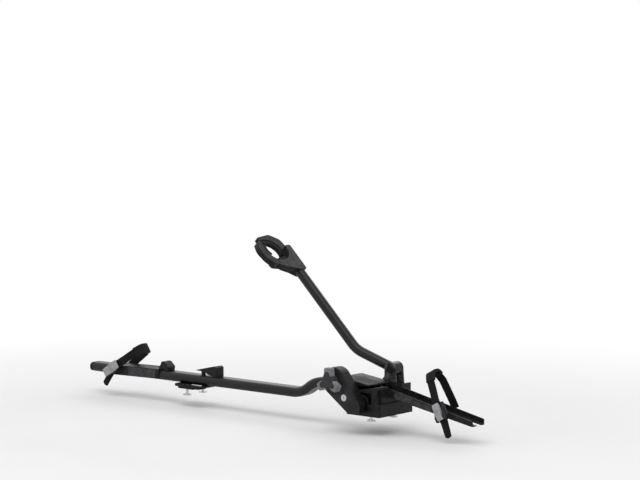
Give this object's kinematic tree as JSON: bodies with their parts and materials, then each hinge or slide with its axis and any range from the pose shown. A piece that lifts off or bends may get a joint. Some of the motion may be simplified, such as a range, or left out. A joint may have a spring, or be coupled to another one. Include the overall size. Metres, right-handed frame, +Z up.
{
  "type": "roof bike carrier",
  "caption": "Roof-bar bicycle carrier: a cranked rail, a sloping front wheel tray, strapped wheel holders and a folding arm whose claws grip the bicycle's down tube.",
  "frame": {"origin": "middle of the rubber pad under the base, where it sits on the front roof bar", "axes": "+X towards the front of the car along the rail, +Y towards the far side (the arm's side), +Z up"},
  "size_m": [1.4354, 0.2055, 0.4932],
  "materials": {
    "rail_black": "black anodised, satin",
    "arm_black": "black anodised, satin",
    "steel_black": "black powder coat",
    "bolt_zinc": "zinc plated",
    "base_plastic": "fine grain",
    "cover_plastic": "fine grain",
    "tray_plastic": "fine grain",
    "plate_plastic": "smooth",
    "knob_grey": "smooth satin",
    "knob_dark": "fine grain",
    "lock_chrome": "polished",
    "strap_rubber": "ribbed",
    "pad_rubber": "matt",
    "buckle_dark": "fine grain",
    "buckle_grey": "smooth satin"
  },
  "bodies": {
    "base": {"rail": "rail_black", "rail_end_cap": "base_plastic", "base_housing": "base_plastic", "pivot_bracket": "steel_black", "bracket_screws": "bolt_zinc", "pivot_pin": "steel_black", "front_bar_pad": "pad_rubber", "front_slot_bolts": "bolt_zinc", "front_washers": "bolt_zinc", "front_nuts": "bolt_zinc", "drive_cover": "base_plastic", "knob_housing": "base_plastic", "housing_front": "cover_plastic", "housing_screws": "bolt_zinc", "lock_ring": "lock_chrome", "front_tray": "tray_plastic", "tray_screws": "steel_black", "front_label_plate": "plate_plastic", "tray_side_plate": "plate_plastic", "front_strap": "strap_rubber", "front_rim_pad": "pad_rubber", "front_buckle_body": "buckle_dark", "front_buckle_pin": "steel_black", "rail_wedge": "base_plastic", "wedge_screw": "bolt_zinc"},
    "arm": {"arm_hub": "arm_black", "arm_tube": "arm_black", "holder_body": "base_plastic", "holder_cover": "cover_plastic", "cover_screw": "steel_black", "near_claw_pin": "bolt_zinc", "far_claw_pin": "bolt_zinc", "palm_pad": "pad_rubber", "pull_rod": "bolt_zinc", "rod_guides": "base_plastic"},
    "near_claw": {"near_claw": "base_plastic", "near_claw_pad": "pad_rubber"},
    "far_claw": {"far_claw": "base_plastic", "far_claw_pad": "pad_rubber"},
    "knob": {"knob_body": "knob_dark", "knob_grips": "knob_grey", "knob_cap": "knob_dark", "knob_spindle": "bolt_zinc"},
    "lock": {"lock_barrel": "lock_chrome"},
    "front_lever": {"front_buckle_lever": "buckle_grey"},
    "rear_saddle": {"rear_holder": "tray_plastic", "rear_label_plate": "plate_plastic", "rear_strap": "strap_rubber", "rear_rim_pad": "pad_rubber", "rear_buckle_body": "buckle_dark", "rear_buckle_pin": "steel_black"},
    "rear_strap_lever": {"rear_buckle_lever": "buckle_grey"},
    "rear_foot": {"rear_bracket": "base_plastic", "rear_bar_pad": "pad_rubber", "rear_slot_bolts": "bolt_zinc", "rear_nuts": "bolt_zinc", "clamp_bolt": "bolt_zinc", "clamp_nut": "bolt_zinc"},
    "rear_clamp": {"rear_lever": "bolt_zinc"}
  },
  "joints": [
    {"name": "arm_fold", "type": "hinge", "parent": "base", "child": "arm", "pos_m": [0, 0.05, 0.116], "axis": [0, 1, 0], "range_deg": [-41, 30]},
    {"name": "near_claw_swing", "type": "hinge", "parent": "arm", "child": "near_claw", "pos_m": [-0.36155, -0.036, 0.38456], "axis": [0.7022, 0, 0.712], "range_deg": [-10, 18]},
    {"name": "far_claw_swing", "type": "hinge", "parent": "arm", "child": "far_claw", "pos_m": [-0.36582, 0.056, 0.38878], "axis": [-0.7022, 0, -0.712], "range_deg": [-10, 18]},
    {"name": "knob_turn", "type": "hinge", "parent": "base", "child": "knob", "pos_m": [-0.087, -0.11, 0.0915], "axis": [0, 1, 0], "range_deg": [-648, 360]},
    {"name": "lock_turn", "type": "hinge", "parent": "base", "child": "lock", "pos_m": [-0.0485, -0.1, 0.0495], "axis": [0, 1, 0], "range_deg": [0, 90]},
    {"name": "front_lever_open", "type": "hinge", "parent": "base", "child": "front_lever", "pos_m": [0.23053, -0.048, 0.01722], "axis": [0.8763, 0, 0.4818], "range_deg": [0, 75]},
    {"name": "rear_lever_open", "type": "hinge", "parent": "rear_saddle", "child": "rear_strap_lever", "pos_m": [-1.01822, -0.048, 0.02104], "axis": [0.5577, 0, -0.83], "range_deg": [0, 75]},
    {"name": "rear_holder_slide", "type": "slide", "parent": "base", "child": "rear_saddle", "axis": [1, 0, 0], "range_m": [-0.09, 0.07]},
    {"name": "rear_bracket_slide", "type": "slide", "parent": "base", "child": "rear_foot", "axis": [1, 0, 0], "range_m": [-0.15, 0.19]},
    {"name": "rear_clamp_turn", "type": "hinge", "parent": "rear_foot", "child": "rear_clamp", "pos_m": [-0.64, -0.035, 0.0157], "axis": [0, 0, 1], "range_deg": [0, 90]}
  ],
  "couplings": [
    {"joint": "near_claw_swing", "follows": "knob_turn", "ratio": -0.027778},
    {"joint": "far_claw_swing", "follows": "knob_turn", "ratio": -0.027778}
  ]
}
